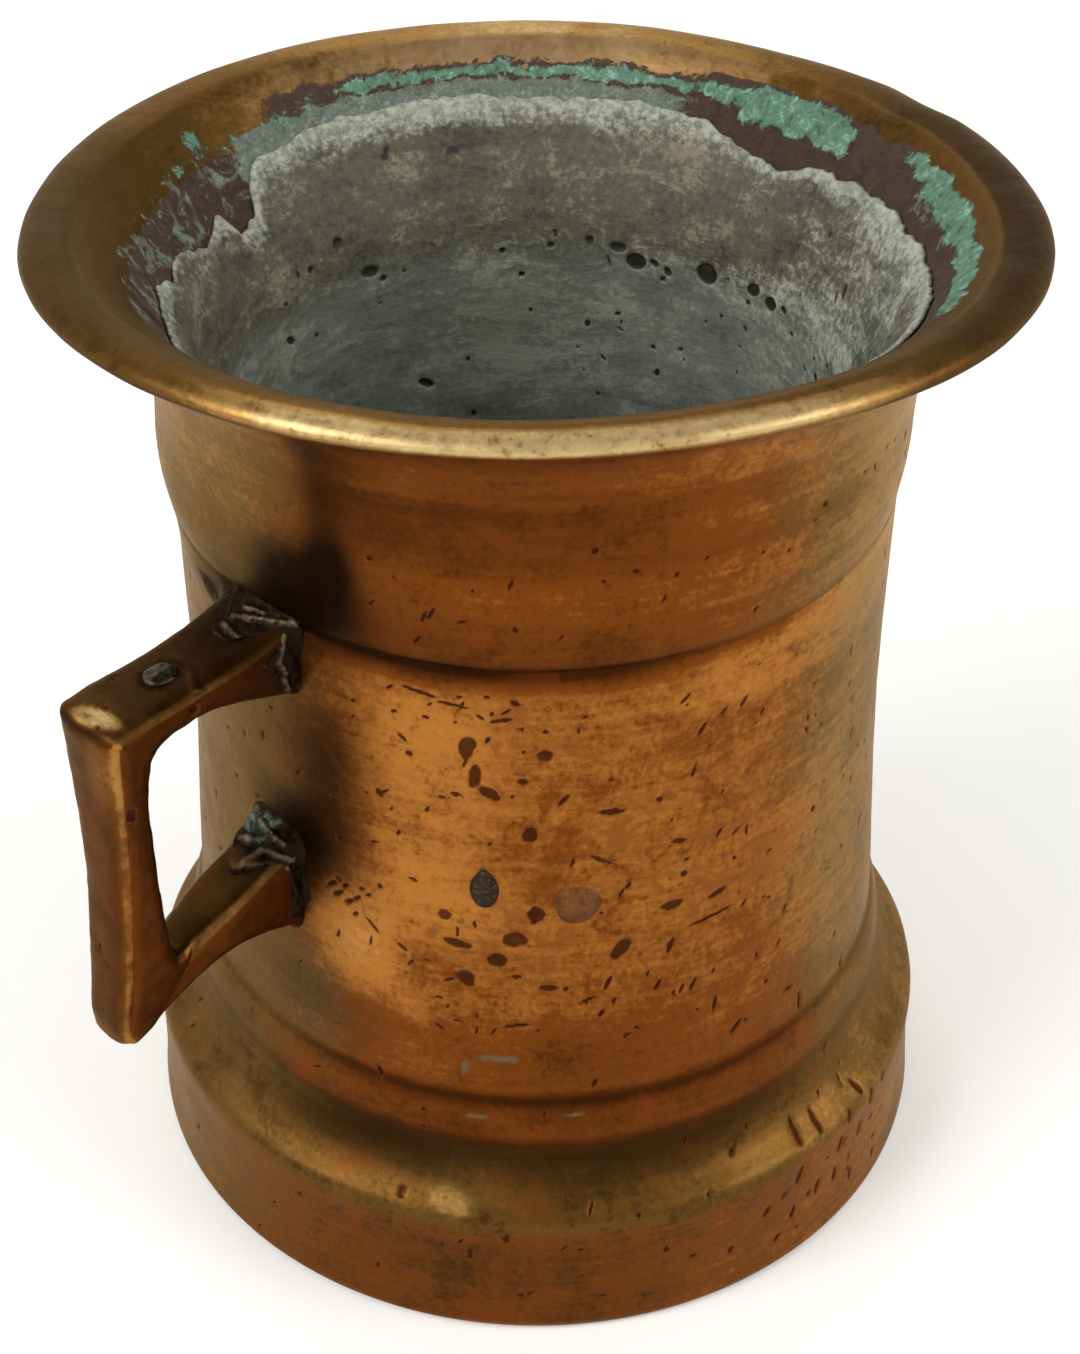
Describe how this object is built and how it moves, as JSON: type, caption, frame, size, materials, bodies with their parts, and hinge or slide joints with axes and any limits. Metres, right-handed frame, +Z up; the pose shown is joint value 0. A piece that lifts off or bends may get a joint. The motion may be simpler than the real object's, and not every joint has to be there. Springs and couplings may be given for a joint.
{
  "type": "mortar",
  "caption": "Old cast bronze mortar: a flared grinding bowl on a heavy foot, with an angular brazed handle and a tinned bore.",
  "frame": {"origin": "centre of the flat base, on the axis of the bore", "axes": "+Z up along the axis of the bore; the handle points to -X"},
  "size_m": [0.1279, 0.116, 0.131],
  "materials": {
    "bronze": "old cast bronze, turned, with a worn golden brown patina",
    "handle_bronze": "cast bronze with a dark brown patina, bright on its worn edges",
    "braze": "rough blackened brazing metal with green deposits",
    "tin": "dull grey old tinning, mottled and pitted",
    "solder": "dull grey soft solder",
    "core_pin": "corroded dark green metal"
  },
  "bodies": {
    "root": {"mortar_body": "bronze", "handle": "handle_bronze", "upper_braze": "braze", "lower_braze": "braze", "tin_lining": "tin", "wall_plug": "solder", "handle_plug": "solder", "core_pin": "core_pin"}
  },
  "joints": []
}
